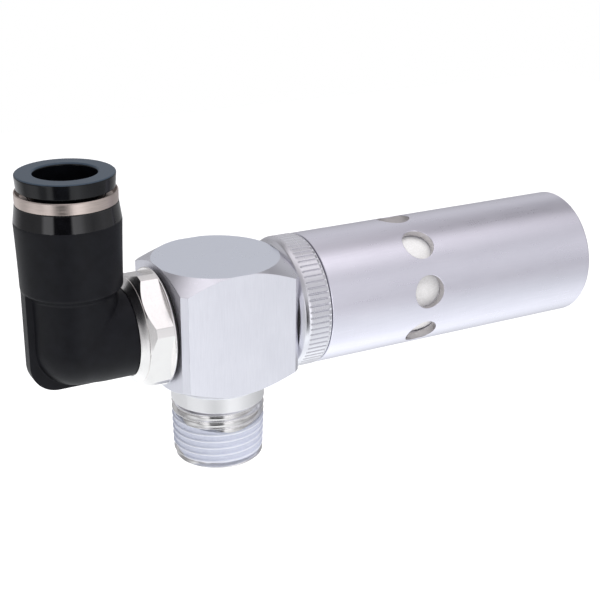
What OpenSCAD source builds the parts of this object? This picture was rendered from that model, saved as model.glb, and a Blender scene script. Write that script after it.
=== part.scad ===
// Inline vacuum ejector: square bar block with a male taper thread as its
// vacuum port, a swivelling push-in elbow for the compressed air, and a long
// turned tube with a porous insert as its exhaust silencer.
//
// Frame: the origin is on the vacuum thread's axis, at the shoulder where the
// thread starts. +Z runs up that axis into the block, the thread hangs down
// towards -Z, and the air flows along +X at the height axis_h.
// All sizes are in millimetres.

/* [Block] */
// Side of the square bar
block_side = 22.3; // [22:0.1:24]
// Width of the chamfer on the four upright edges
block_edge = 1.0; // [0.6:0.1:1.4]
// Height of the air-flow axis above the thread's shoulder
axis_h = 15.7; // [15.7:0.1:18]
// Height of the block's top face above the air-flow axis
block_rise = 10.95; // [10.5:0.05:12]
// Radius of the flat circle that the turned top chamfer leaves
top_circle_r = 11.35; // [10.8:0.05:11.6]
// Fall of the top chamfer for each millimetre of radius
top_slope = 0.617; // [0.5:0.01:0.75]
// Rise of the lower cone for each millimetre of radius
bottom_slope = 0.577; // [0.45:0.01:0.6]
// Radius of the round boss over the thread
boss_r = 8.5; // [8.45:0.05:9]
// Height of the round boss
boss_h = 2.9; // [2.4:0.1:3.2]

/* [Vacuum port] */
// Major radius of the taper thread at its gauge plane
port_thread_r = 8.33; // [8.1:0.01:8.4]
// Length of the thread, end chamfer included
port_thread_len = 11.3; // [10.5:0.1:12]
// Radius of the vacuum passage inside the thread
port_bore_r = 5.75; // [5.2:0.05:6.2]
// Radius of the suction chamber around the nozzle tip
chamber_r = 4.0; // [3.9:0.05:4.1]

/* [Inlet stud] */
// Width across the flats of the hexagon
hex_af = 19; // [18:0.5:19.2]
// Radius of the round bar that the hexagon is milled on
hex_bar_r = 10.54; // [10.3:0.02:10.9]
// Turn of the hexagon about the flow axis, in degrees
hex_turn = 14.4; // [0:0.1:59]
// Radius of the round flange that the elbow turns against
flange_r = 9.5; // [9.3:0.05:9.9]
// Radius of the stud's thread in the block
stud_thread_r = 6.5; // [6.3:0.05:6.5]
// Radius of the swivel journal
journal_r = 5.2; // [5.1:0.05:5.2]
// Radius of the air passage through the stud
stud_bore_r = 3.0; // [2.5:0.1:3.2]

/* [Elbow] */
// Distance from the vacuum axis to the elbow's upright axis
elbow_reach = 26.25; // [26.2:0.05:28]
// Outer radius of the elbow's level leg
leg_r = 7.72; // [7.6:0.01:7.8]
// Outer radius of the elbow's upright neck
neck_r = 7.45; // [7.3:0.05:7.5]
// Radius of the rounded heel
heel_r = 7.6; // [7.55:0.01:7.65]
// Thickness of the rib over the heel
rib_t = 2.8; // [2:0.1:3.4]
// Distance from the upright axis to the rib's outer face
rib_reach = 8.35; // [8.1:0.05:8.5]
// Radius of the socket's shoulder, at its foot
socket_r = 8.5; // [8.4:0.05:8.6]
// Largest radius of the socket
socket_max_r = 8.83; // [8.7:0.01:8.95]

/* [Push-in cartridge] */
// Radius of the pocket that takes the end of a 10 mm tube
tube_pocket_r = 5.1; // [5.05:0.01:5.12]
// Radius of the metal guide sleeve's flange
sleeve_r = 8.4; // [8.2:0.05:8.6]
// Radius of the release ring's top face
ring_top_r = 8.2; // [8:0.05:8.4]
// Radius of the hole through the release ring
ring_hole_r = 5.2; // [5.16:0.02:5.3]

/* [Silencer] */
// Outer radius of the silencer tube
silencer_r = 12.1; // [11.9:0.05:12.4]
// Wall of the silencer tube
silencer_wall = 1.55; // [1.3:0.05:2]
// Distance from the vacuum axis to the silencer's far end
silencer_end = 75.45; // [60:0.05:100]
// Distance from the vacuum axis to the ring of exhaust holes
exhaust_x = 37.7; // [33:0.1:45]
// Radius of each exhaust hole
exhaust_r = 3.1; // [2:0.1:3.4]
// Number of exhaust holes in the ring
exhaust_count = 8; // [4:1:8]
// Turn of the exhaust holes about the flow axis, in degrees
exhaust_turn = 37.3; // [0:0.1:44]
// Crest radius of the knurled ring
knurl_r = 12.17; // [12:0.01:12.4]

/* [Nozzle and diffuser] */
// Throat radius of the jet nozzle
jet_throat_r = 1.0; // [0.5:0.05:1.1]
// Throat radius of the diffuser
diffuser_throat_r = 1.5; // [1:0.1:1.8]
// Distance from the vacuum axis to the diffuser's outlet
diffuser_end = 31; // [26:0.5:34]

/* [Hidden] */
$fn = 96;

half = block_side / 2;
big_r = 16;                       // clears the block's corners
z_top = axis_h + block_rise;
port_tip = 0.7;                   // length of the thread's end chamfer
stud_face = -half - 0.75;         // inner face of the stud's collar
ring_face = half;                 // the knurled ring seats on the block
gasket_x = 16.95;                 // gap between the knurled ring and the tube
tube_start = 17.1;                // near end of the silencer tube
tube_bore_r = silencer_r - silencer_wall;
element_r = tube_bore_r - 0.2;
cap_x = silencer_end - 3.2;

// Children drawn about Z come to lie about the flow axis, with Z as +X.
module on_flow() { translate([0, 0, axis_h]) rotate([0, 90, 0]) children(); }

// Children drawn about Z come to stand on the elbow's upright axis.
module on_socket() { translate([-elbow_reach, 0, axis_h]) children(); }

// A body turned from a list of [radius, height] points.
module turned(points) { rotate_extrude() polygon(points); }

// A ring of round section: middle radius, section radius, height.
module o_ring(mid_r, sec_r, at) {
    rotate_extrude() translate([mid_r, at]) circle(r = sec_r, $fn = 32);
}

module bar_section() {
    h = half;
    c = block_edge;
    polygon([[h - c, -h], [h, -h + c], [h, h - c], [h - c, h],
             [-h + c, h], [-h, h - c], [-h, -h + c], [-h + c, -h]]);
}

// Square bar, turned at both ends about the vacuum axis, with the male thread
// below and the stepped flow bore through it.
module ejector_block() {
    color([0.80, 0.80, 0.84]) difference() {
        union() {
            intersection() {
                translate([0, 0, -1]) linear_extrude(height = z_top + 3) bar_section();
                turned([[0, 0], [boss_r, 0], [boss_r, boss_h],
                        [big_r, boss_h + (big_r - boss_r) * bottom_slope],
                        [big_r, z_top - (big_r - top_circle_r) * top_slope],
                        [top_circle_r, z_top], [0, z_top]]);
            }
            turned([[0, -port_thread_len], [port_thread_r - 0.6, -port_thread_len],
                    [port_thread_r, -port_thread_len + port_tip],
                    [port_thread_r, 0.5], [0, 0.5]]);
        }
        // vacuum passage, with its countersink at the mouth
        turned([[0, -port_thread_len - 1], [port_bore_r + 1.3, -port_thread_len - 1],
                [port_bore_r, -port_thread_len + 0.3],
                [port_bore_r, axis_h - 8], [0, axis_h - 8]]);
        // suction chamber
        translate([0, 0, axis_h - 9]) cylinder(r = chamber_r, h = 9 + 4.8);
        // thread hole for the inlet stud and seat of the nozzle
        on_flow() turned([[0, -half - 1], [7.6, -half - 1], [6.55, -half + 0.55],
                          [6.55, -5.6], [3.6, -5.6], [3.6, 0], [0, 0]]);
        // seat of the diffuser and thread hole for the knurled ring
        on_flow() turned([[0, 0], [4.25, 0], [4.25, 5.5], [8.33, 5.5],
                          [8.33, half + 1], [0, half + 1]]);
    }
}

// Brass jet nozzle, held on its flange by the end of the stud.
module jet_nozzle() {
    color([0.78, 0.62, 0.30]) on_flow()
        turned([[2.6, -6.6], [6.3, -6.6], [6.3, -5.6], [3.55, -5.6],
                [3.55, -5.0], [2.75, -5.0], [2.75, -3.9], [3.55, -3.9],
                [3.55, -3.2], [3.0, -3.0], [jet_throat_r + 0.7, 0.8],
                [jet_throat_r + 0.25, 0.8], [jet_throat_r, -1.2]]);
}

module nozzle_o_ring() {
    color([0.08, 0.08, 0.08]) on_flow() o_ring(3.17, 0.4, -4.45);
}

// Receiver tube: bell mouth, straight throat and long widening outlet.
module diffuser() {
    t = diffuser_throat_r;
    color([0.78, 0.62, 0.30]) on_flow()
        turned([[2.9, 2.4], [3.3, 2.4], [4.2, 3.4], [4.2, 4.0], [3.35, 4.0],
                [3.35, 5.1], [4.2, 5.1], [4.2, 5.5], [8.2, 5.5], [8.2, 7.1],
                [5.2, 7.1], [5.2, diffuser_end - 0.5], [4.7, diffuser_end],
                [3.4, diffuser_end], [t, 13], [t, 7]]);
}

module diffuser_o_ring() {
    color([0.08, 0.08, 0.08]) on_flow() o_ring(3.79, 0.42, 4.55);
}

// Knurled coupling ring: a male thread into the block on one side, a spigot
// for the silencer tube on the other, open through the middle.
module knurled_ring() {
    k = knurl_r;
    f = ring_face;
    color([0.74, 0.75, 0.79]) on_flow() difference() {
        turned([[5.6, 7.1], [7.9, 7.1], [8.28, 7.5], [8.28, f], [9.7, f],
                [10.62, f + 0.1], [11.0, f + 0.2], [11.5, f + 0.35], [11.8, f + 0.65],
                [k - 0.12, f + 1.35], [k, f + 1.8], [k, 16.85],
                [k - 0.1, gasket_x], [tube_bore_r - 0.05, gasket_x],
                [tube_bore_r - 0.05, 23.4],
                [tube_bore_r - 0.45, 23.8], [8.4, 23.8], [8.4, 16], [5.6, 14]]);
        // groove in the seating face for its o-ring
        translate([0, 0, f - 0.01]) difference() {
            cylinder(r = 10.55, h = 0.86);
            translate([0, 0, -1]) cylinder(r = 9.55, h = 3);
        }
    }
}

module ring_o_ring() {
    color([0.08, 0.08, 0.08]) on_flow() o_ring(10.05, 0.42, ring_face + 0.42);
}

// Thin flat gasket in the groove between the knurled ring and the tube.
module silencer_gasket() {
    color([0.10, 0.10, 0.10]) on_flow()
        turned([[tube_bore_r, gasket_x], [11.5, gasket_x], [11.5, tube_start],
                [tube_bore_r, tube_start]]);
}

// Long turned tube with one ring of exhaust holes.
module silencer_tube() {
    r = silencer_r;
    b = tube_bore_r;
    color([0.80, 0.80, 0.84]) on_flow() difference() {
        turned([[b, tube_start], [r - 0.25, tube_start],
                [r - 0.1, tube_start + 0.1], [r, tube_start + 0.3],
                [r, silencer_end - 0.35], [r - 0.25, silencer_end],
                [b + 0.4, silencer_end], [b, silencer_end - 0.4]]);
        for (i = [0 : exhaust_count - 1])
            rotate([0, 0, exhaust_turn + i * 360 / exhaust_count])
                translate([b - 1.1, 0, exhaust_x]) rotate([0, 90, 0])
                    cylinder(r = exhaust_r, h = 6);
    }
}

// Porous white sleeve that spreads and quiets the exhaust.
module silencer_element() {
    color([0.93, 0.92, 0.90]) on_flow()
        turned([[6.4, 24.8], [element_r - 0.5, 24.8], [element_r, 25.3],
                [element_r, cap_x - 1.5], [element_r - 0.5, cap_x - 1],
                [6.4, cap_x - 1]]);
}

// Two equal rubber washers that hold the porous sleeve by its ends.
module element_washers() {
    color([0.12, 0.12, 0.12]) on_flow() for (x = [23.8, cap_x - 1])
        turned([[6.8, x], [9.4, x], [9.4, x + 1], [6.8, x + 1]]);
}

// Plug pressed into the far end of the silencer tube.
module end_cap() {
    b = tube_bore_r;
    color([0.76, 0.77, 0.80]) on_flow()
        turned([[0, cap_x], [b - 0.4, cap_x], [b, cap_x + 0.4],
                [b, cap_x + 2.1], [b - 0.4, cap_x + 2.5], [6.2, cap_x + 2.5],
                [5.6, cap_x + 2.0], [0, cap_x + 2.0]]);
}

// Hexagon stud: thread into the block, hexagon, flange and swivel journal.
module inlet_stud() {
    j = journal_r;
    g = flange_r;
    color([0.82, 0.80, 0.76]) on_flow() difference() {
        union() {
            // thread end
            turned([[0, stud_face], [stud_thread_r, stud_face],
                    [stud_thread_r, -7.0], [stud_thread_r - 0.4, -6.6], [0, -6.6]]);
            // collar behind the hexagon
            turned([[0, -12.4], [hex_bar_r - 0.04, -12.4],
                    [hex_bar_r - 0.04, stud_face - 0.12],
                    [hex_bar_r - 0.16, stud_face], [0, stud_face]]);
            // hexagon milled on the turned bar
            intersection() {
                turned([[0, -16.48], [g + 0.1, -16.48], [hex_bar_r, -15.4],
                        [hex_bar_r, -12.3], [0, -12.3]]);
                rotate([0, 0, hex_turn]) translate([0, 0, -17])
                    cylinder(r = hex_af / 2 / cos(30), h = 5, $fn = 6);
            }
            // flange with a round edge, that the elbow turns against
            turned([[0, -17.4], [g - 1.25, -17.4], [g - 0.85, -17.34],
                    [g - 0.45, -17.1], [g - 0.15, -16.75], [g, -16.35],
                    [g, -16.3], [0, -16.3]]);
            // journal with the o-ring groove and the clip groove
            turned([[0, -22.8], [j - 0.4, -22.8], [j, -22.4], [j, -22.0],
                    [4.0, -22.0], [4.0, -20.6], [j, -20.6], [j, -19.7],
                    [4.5, -19.7], [4.5, -18.6], [j, -18.6], [j, -17.3], [0, -17.3]]);
        }
        translate([0, 0, -24]) cylinder(r = stud_bore_r, h = 20);
    }
}

// Flat black sealing washer between the stud and the block.
module stud_seal() {
    color([0.05, 0.05, 0.05]) on_flow()
        turned([[6.6, stud_face], [flange_r - 0.1, stud_face],
                [flange_r, stud_face + 0.1], [flange_r, -half - 0.1],
                [flange_r - 0.1, -half], [6.6, -half]]);
}

module swivel_o_ring() {
    color([0.08, 0.08, 0.08]) on_flow() o_ring(4.62, 0.57, -21.3);
}

// Open spring ring that keeps the elbow on the journal.
module swivel_clip() {
    color([0.75, 0.76, 0.78]) on_flow() difference() {
        turned([[4.6, -19.6], [5.9, -19.6], [5.9, -18.7], [4.6, -18.7]]);
        translate([3, -0.9, -20]) cube([4, 1.8, 2]);
    }
}

// Outline of the rib in the elbow's plane, with its rounded heel.
module rib_outline() {
    x = -rib_reach;
    b = -leg_r - 0.13;
    r = 4.8;
    polygon(concat(
        [[0, 0], [0, 10.3], [x, 10.3]],
        [for (a = [180 : 7.5 : 270]) [x + r + r * cos(a), b + r + r * sin(a)]],
        [[elbow_reach - 17.55, b], [elbow_reach - 17.55, 0]]));
}

// Moulded elbow: level leg over the journal, rounded heel with its rib, and
// the stepped socket that holds the push-in cartridge.
module elbow_body() {
    s = socket_r;
    m = socket_max_r;
    color([0.06, 0.06, 0.065]) difference() {
        union() {
            on_flow() translate([0, 0, -elbow_reach])
                cylinder(r = leg_r, h = elbow_reach - 17.5);
            on_socket() {
                sphere(r = heel_r);
                cylinder(r = neck_r, h = 9.3);
                turned([[0, 9], [neck_r + 0.05, 9.15], [s, 10.15], [s + 0.05, 12.8],
                        [s + 0.12, 15.6], [s + 0.23, 18.4], [m - 0.02, 19.8],
                        [m, 21.15], [m, 21.75], [m - 0.41, 24.75], [0, 24.75]]);
                rotate([90, 0, 0]) linear_extrude(height = rib_t, center = true)
                    rib_outline();
            }
        }
        // journal bore with the clip groove, then the level air passage
        on_flow() {
            turned([[0, -23.0], [journal_r + 0.05, -23.0], [journal_r + 0.05, -19.75],
                    [6.0, -19.75], [6.0, -18.55], [journal_r + 0.05, -18.55],
                    [journal_r + 0.05, -17.9], [journal_r + 0.55, -17.4],
                    [journal_r + 0.55, -17.0], [0, -17.0]]);
            translate([0, 0, -elbow_reach]) cylinder(r = 3.5, h = 5);
        }
        // upright air passage, tube pocket, seal seat and cartridge bore
        on_socket() turned([[0, -3.7], [3.9, -3.7], [3.9, 9.5],
                            [tube_pocket_r, 9.5], [tube_pocket_r, 15],
                            [6.7, 15], [6.7, 18.8], [7.35, 18.8],
                            [7.35, 26], [0, 26]]);
    }
}

// Lip seal for the tube.
module tube_seal() {
    color([0.09, 0.09, 0.09]) on_socket()
        turned([[5.35, 15.1], [6.65, 15.1], [6.65, 18.5], [5.9, 18.5],
                [5.15, 17.5], [5.15, 16.9], [5.6, 16.0]]);
}

// Backing ring that keeps the seal in and gives the claws room to open.
module claw_ring() {
    color([0.72, 0.70, 0.62]) on_socket()
        turned([[5.4, 18.85], [7.3, 18.85], [7.3, 21.0], [6.75, 21.0],
                [5.6, 19.6], [5.4, 19.3]]);
}

// Spring-steel claw washer with eight fingers that lean in and down.
module lock_claw() {
    color([0.70, 0.71, 0.73]) on_socket() difference() {
        turned([[6.6, 21.0], [7.25, 21.0], [7.25, 21.35], [6.5, 21.35],
                [5.15, 20.3], [5.2, 20.0]]);
        for (i = [0 : 7]) rotate([0, 0, i * 45])
            translate([4.5, -0.35, 19.5]) cube([2.1, 0.7, 2.5]);
    }
}

// Bright metal sleeve that closes the socket and guides the release ring. Its
// mouth widens, so that the ring can sink into it.
module guide_sleeve() {
    q = sleeve_r;
    color([0.80, 0.76, 0.68]) on_socket()
        turned([[6.95, 21.4], [7.3, 21.4], [7.3, 24.75], [q - 0.05, 24.75],
                [q, 24.85], [q, 26.5], [q - 0.12, 26.65], [q - 0.2, 26.65],
                [q - 0.85, 25.6], [6.35, 25.6], [6.35, 23.4], [6.95, 23.4]]);
}

// Release ring: a collar that is pressed down to free the tube, with a nose
// that opens the claws and a bead that keeps it in the sleeve.
module release_ring() {
    t = ring_top_r;
    h = ring_hole_r;
    color([0.52, 0.56, 0.62]) on_socket()
        turned([[h, 22.4], [5.9, 22.4], [6.75, 22.75], [6.75, 23.3],
                [6.25, 23.3], [6.25, 26.75], [7.3, 26.75], [t - 0.2, 27.2],
                [t, 29.35], [t - 0.25, 29.6], [h + 0.5, 29.6], [h, 29.1]]);
}

ejector_block();
jet_nozzle();
nozzle_o_ring();
diffuser();
diffuser_o_ring();
knurled_ring();
ring_o_ring();
silencer_gasket();
silencer_tube();
silencer_element();
element_washers();
end_cap();
inlet_stud();
stud_seal();
swivel_o_ring();
swivel_clip();
elbow_body();
tube_seal();
claw_ring();
lock_claw();
guide_sleeve();
release_ring();
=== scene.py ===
import math

import bmesh
import bpy
import numpy as np
from mathutils import Matrix, Vector


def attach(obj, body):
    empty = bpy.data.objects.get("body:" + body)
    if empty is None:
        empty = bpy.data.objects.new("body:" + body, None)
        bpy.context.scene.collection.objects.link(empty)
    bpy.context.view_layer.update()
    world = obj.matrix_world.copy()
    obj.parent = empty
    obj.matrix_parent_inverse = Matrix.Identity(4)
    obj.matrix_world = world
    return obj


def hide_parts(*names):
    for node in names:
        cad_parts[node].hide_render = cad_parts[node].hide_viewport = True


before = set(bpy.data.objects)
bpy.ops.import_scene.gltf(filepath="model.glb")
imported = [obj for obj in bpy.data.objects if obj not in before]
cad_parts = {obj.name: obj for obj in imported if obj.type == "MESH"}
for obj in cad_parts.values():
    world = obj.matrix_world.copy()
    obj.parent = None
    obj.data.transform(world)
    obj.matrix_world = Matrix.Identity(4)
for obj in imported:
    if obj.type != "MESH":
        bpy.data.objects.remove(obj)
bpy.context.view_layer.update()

AX = 15.7  # height of the air-flow axis above the thread's shoulder
EX = -26.25  # the elbow's upright axis


# ---------------------------------------------------------------- mesh tools
def make(name, verts, faces, body, slot, replaces=(), normals=None, angle=40, merge=True):
    me = bpy.data.meshes.new(name)
    me.from_pydata((np.asarray(verts, float) * 0.001).tolist(), [], faces)
    if merge:
        bm = bmesh.new()
        bm.from_mesh(me)
        bmesh.ops.remove_doubles(bm, verts=bm.verts, dist=2e-7)
        bmesh.ops.dissolve_degenerate(bm, edges=bm.edges, dist=1e-8)
        bmesh.ops.recalc_face_normals(bm, faces=bm.faces)
        bm.to_mesh(me)
        bm.free()
    for p in me.polygons:
        p.use_smooth = True
    me.update()
    if angle:
        me.set_sharp_from_angle(angle=math.radians(angle))
    if normals is not None:
        co = np.zeros(len(me.vertices) * 3)
        me.vertices.foreach_get("co", co)
        co = co.reshape(-1, 3) * 1000
        no = np.zeros(len(me.vertices) * 3)
        me.vertices.foreach_get("normal", no)
        no = normals(co, no.reshape(-1, 3))
        me.normals_split_custom_set_from_vertices(no.tolist())
    ob = bpy.data.objects.new(name, me)
    bpy.context.scene.collection.objects.link(ob)
    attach(ob, body)
    if replaces:
        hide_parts(*replaces)
    return ob


def grid(P, close_u=True, close_v=True, base=0):
    """Quads over an array of points (nu, nv, 3)."""
    nu, nv = P.shape[:2]
    idx = np.arange(nu * nv).reshape(nu, nv) + base
    iu = np.arange(nu if close_u else nu - 1)
    iv = np.arange(nv if close_v else nv - 1)
    a = idx[np.ix_(iu, iv)]
    b = idx[np.ix_((iu + 1) % nu, iv)]
    c = idx[np.ix_((iu + 1) % nu, (iv + 1) % nv)]
    d = idx[np.ix_(iu, (iv + 1) % nv)]
    return P.reshape(-1, 3), np.stack([a, b, c, d], -1).reshape(-1, 4).tolist()


def fillet(points, n=4, support=0.03, closed=True):
    """Corners (a, b, radius) to a polyline with round corners. Every corner gives
    the same number of points, so that profiles of one shape stay in step."""
    pts = [np.array(p[:2], float) for p in points]
    rad = [p[2] if len(p) > 2 else 0.0 for p in points]
    m, out = len(pts), []
    for i in range(m):
        p = pts[i]
        if not closed and i in (0, m - 1):
            out.append(p)
            continue
        a, b = pts[i - 1] - p, pts[(i + 1) % m] - p
        la, lb = np.linalg.norm(a), np.linalg.norm(b)
        if rad[i] <= 0 or la < 1e-9 or lb < 1e-9:
            out.append(p)
            continue
        a, b = a / la, b / lb
        cosang = float(np.clip(a @ b, -1, 1))
        half = math.acos(cosang) / 2
        t = min(rad[i] / max(math.tan(half), 1e-6), 0.42 * la, 0.42 * lb)
        s = min(support, 0.3 * t + 1e-6)
        p0, p1 = p + a * t, p + b * t
        out.append(p + a * min(t + s, 0.49 * la))
        bis = a + b
        nb = np.linalg.norm(bis)
        if nb < 1e-6:
            for k in range(n + 1):
                out.append(p0 + (p1 - p0) * k / n)
        else:
            bis /= nb
            r = t * math.tan(half)
            c = p + bis * (t / math.cos(half))
            v0, v1 = p0 - c, p1 - c
            full = math.pi - 2 * half
            for k in range(n + 1):
                f = k / n
                w0 = math.sin((1 - f) * full) / math.sin(full)
                w1 = math.sin(f * full) / math.sin(full)
                out.append(c + v0 * w0 + v1 * w1)
        out.append(p + b * min(t + s, 0.49 * lb))
    return np.array(out)


def about_flow(r, x, t):
    """t 0 is towards -Y and 90 degrees is up."""
    return np.stack([x + 0 * t, -r * np.cos(t), AX + r * np.sin(t)], -1)


def about_up(r, z, t, cx=0.0):
    return np.stack([cx + r * np.cos(t), r * np.sin(t), z + 0 * t], -1)


def turned(name, profile, body, slot, axis, segs=192, cx=0.0, replaces=(), n=4, wave=None, **kw):
    """Revolves a closed profile of (radius, height, corner radius)."""
    pr = fillet(profile, n)
    t = np.linspace(0, 2 * np.pi, segs, endpoint=False)
    T, R = np.meshgrid(t, pr[:, 0], indexing="ij")
    _, H = np.meshgrid(t, pr[:, 1], indexing="ij")
    if wave is not None:
        R = wave(R, H, T)
    P = about_flow(R, H, T) if axis == "x" else about_up(R, H, T, cx)
    return make(name, *grid(P), body, slot, replaces, **kw)


def smin(a, b, k):
    h = np.clip(0.5 + 0.5 * (b - a) / k, 0, 1)
    return b + (a - b) * h - k * h * (1 - h)


def smax(a, b, k):
    return -smin(-a, -b, k)


def lattice(seed, n=4096):
    return np.random.RandomState(seed).rand(n) * 2 - 1


def noise1(x, seed):
    """Smooth repeatable noise along a line, about -1 to 1."""
    tab = lattice(seed)
    i = np.floor(x).astype(int)
    f = x - i
    f = f * f * (3 - 2 * f)
    return tab[i % 4096] * (1 - f) + tab[(i + 1) % 4096] * f


def noise2(x, y, seed, wrap=None):
    """Smooth repeatable noise on a plane; x repeats after wrap cells."""
    tab = lattice(seed)
    i, j = np.floor(x).astype(int), np.floor(y).astype(int)
    f, g = x - i, y - j
    f, g = f * f * (3 - 2 * f), g * g * (3 - 2 * g)

    def at(a, b):
        if wrap:
            a = a % wrap
        return tab[(a * 131 + b * 977) % 4096]

    top = at(i, j) * (1 - f) + at(i + 1, j) * f
    low = at(i, j + 1) * (1 - f) + at(i + 1, j + 1) * f
    return top * (1 - g) + low * g


# ------------------------------------------------------------------ materials
class Mat:
    """A node material with short names for the nodes it uses."""

    def __init__(self, name, color, metallic=0.0, rough=0.5, **sockets):
        self.m = bpy.data.materials.new(name)
        self.m.use_nodes = True
        self.t = self.m.node_tree
        self.b = next(n for n in self.t.nodes if n.type == "BSDF_PRINCIPLED")
        self.b.inputs["Base Color"].default_value = (*color, 1)
        self.b.inputs["Metallic"].default_value = metallic
        self.b.inputs["Roughness"].default_value = rough
        for k, v in sockets.items():
            self.b.inputs[k.replace("_", " ")].default_value = v
        self.co = self.node("ShaderNodeTexCoord").outputs["Object"]
        scale = self.node("ShaderNodeVectorMath", operation="SCALE")
        self.link(self.co, scale.inputs[0])
        scale.inputs["Scale"].default_value = 1000.0
        self.mm = scale.outputs[0]  # object coordinates in millimetres

    def node(self, kind, **props):
        n = self.t.nodes.new(kind)
        for k, v in props.items():
            setattr(n, k, v)
        return n

    def link(self, a, b):
        if isinstance(a, bpy.types.NodeSocket):
            self.t.links.new(a, b)
        else:
            b.default_value = a

    def math(self, op, a, b=0.0, c=0.0, clamp=False):
        n = self.node("ShaderNodeMath", operation=op, use_clamp=clamp)
        for s, v in zip(n.inputs, (a, b, c)):
            self.link(v, s)
        return n.outputs[0]

    def vec(self, op, a, b=(0, 0, 0)):
        n = self.node("ShaderNodeVectorMath", operation=op)
        self.link(a, n.inputs[0])
        self.link(b, n.inputs[1])
        return n.outputs["Value"] if op in ("LENGTH", "DOT_PRODUCT", "DISTANCE") else n.outputs[0]

    def split(self, v):
        n = self.node("ShaderNodeSeparateXYZ")
        self.link(v, n.inputs[0])
        return n.outputs

    def join(self, x, y, z):
        n = self.node("ShaderNodeCombineXYZ")
        for s, v in zip(n.inputs, (x, y, z)):
            self.link(v, s)
        return n.outputs[0]

    def noise(self, v, scale=1.0, detail=2.0, rough=0.5, distortion=0.0):
        n = self.node("ShaderNodeTexNoise")
        self.link(v, n.inputs["Vector"])
        n.inputs["Scale"].default_value = scale
        n.inputs["Detail"].default_value = detail
        n.inputs["Roughness"].default_value = rough
        n.inputs["Distortion"].default_value = distortion
        return n.outputs[0]

    def voronoi(self, v, scale=1.0, feature="F1"):
        n = self.node("ShaderNodeTexVoronoi", feature=feature)
        self.link(v, n.inputs["Vector"])
        n.inputs["Scale"].default_value = scale
        return n.outputs["Distance"]

    def ramp(self, f, *stops):
        n = self.node("ShaderNodeValToRGB")
        self.link(f, n.inputs[0])
        e = n.color_ramp.elements
        while len(e) > 1:
            e.remove(e[-1])
        for i, (p, c) in enumerate(stops):
            s = e[0] if i == 0 else e.new(p)
            s.position = p
            s.color = (*c, 1) if isinstance(c, (tuple, list)) else (c, c, c, 1)
        return n.outputs[0]

    def span(self, f, a, b, lo, hi):
        n = self.node("ShaderNodeMapRange", clamp=True)
        self.link(f, n.inputs["Value"])
        for k, v in (("From Min", a), ("From Max", b), ("To Min", lo), ("To Max", hi)):
            self.link(v, n.inputs[k])
        return n.outputs[0]

    def mix(self, f, a, b, kind="MIX"):
        n = self.node("ShaderNodeMix", data_type="RGBA", blend_type=kind)
        self.link(f, n.inputs[0])
        for v, s in ((a, n.inputs[6]), (b, n.inputs[7])):
            if isinstance(v, bpy.types.NodeSocket):
                self.t.links.new(v, s)
            else:
                s.default_value = (*v, 1)
        return n.outputs[2]

    def mixf(self, f, a, b):
        n = self.node("ShaderNodeMix", data_type="FLOAT")
        self.link(f, n.inputs[0])
        self.link(a, n.inputs[2])
        self.link(b, n.inputs[3])
        return n.outputs[0]

    def color(self, s):
        self.link(s, self.b.inputs["Base Color"])

    def rough(self, s):
        self.link(s, self.b.inputs["Roughness"])

    def bump(self, height, depth_mm, strength=1.0, before=None):
        """height 0..1 stands depth_mm tall."""
        n = self.node("ShaderNodeBump")
        n.inputs["Strength"].default_value = strength
        n.inputs["Distance"].default_value = depth_mm * 0.001
        self.link(height, n.inputs["Height"])
        if before is not None:
            self.t.links.new(before, n.inputs["Normal"])
        self.t.links.new(n.outputs[0], self.b.inputs["Normal"])
        return n.outputs[0]

    def flow_radius(self):
        s = self.split(self.mm)
        dz = self.math("SUBTRACT", s[2], AX)
        return self.math("SQRT", self.math("ADD", self.math("MULTIPLY", s[1], s[1]), self.math("MULTIPLY", dz, dz)))

    def up_radius(self, cx=0.0):
        s = self.split(self.mm)
        dx = self.math("SUBTRACT", s[0], cx)
        return self.math("SQRT", self.math("ADD", self.math("MULTIPLY", s[1], s[1]), self.math("MULTIPLY", dx, dx)))


def part_faces(ob, test):
    """Gives material 1 to the faces whose middle passes the test (row millimetres)."""
    for p in ob.data.polygons:
        c = p.center * 1000
        p.material_index = 1 if test(c.x, c.y, c.z) else 0


def put(ob, *mats):
    keep = [p.material_index for p in ob.data.polygons]
    ob.data.materials.clear()
    for m in mats:
        ob.data.materials.append(m.m if isinstance(m, Mat) else m)
    if len(mats) > 1:
        for p, i in zip(ob.data.polygons, keep):
            p.material_index = i
    return ob


def turned_alu(name, color, rough, pitch, depth, blotch=0.03):
    """Turned aluminium: fine tool lines across the flow axis, soft cloudiness."""
    m = Mat(name, color, 1.0, rough)
    s = m.split(m.mm)
    rad = m.flow_radius()
    along = m.math("ADD", s[0], rad)
    lines = m.noise(m.join(along, m.math("MULTIPLY", s[1], 0.02), m.math("MULTIPLY", s[2], 0.02)), 1 / pitch, 3, 0.65)
    cloud = m.noise(m.mm, 0.22, 3, 0.55)
    c = m.mix(m.span(cloud, 0.3, 0.7, 0, 1), tuple(v * (1 - blotch) for v in color), tuple(min(1, v * (1 + blotch)) for v in color))
    c = m.mix(m.span(lines, 0.35, 0.7, 0.0, 0.16), c, tuple(v * 0.82 for v in color))
    m.color(c)
    m.rough(m.math("ADD", m.span(lines, 0.3, 0.7, rough - 0.05, rough + 0.05), m.span(cloud, 0.3, 0.7, -0.02, 0.03)))
    m.bump(lines, depth)
    return m


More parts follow.
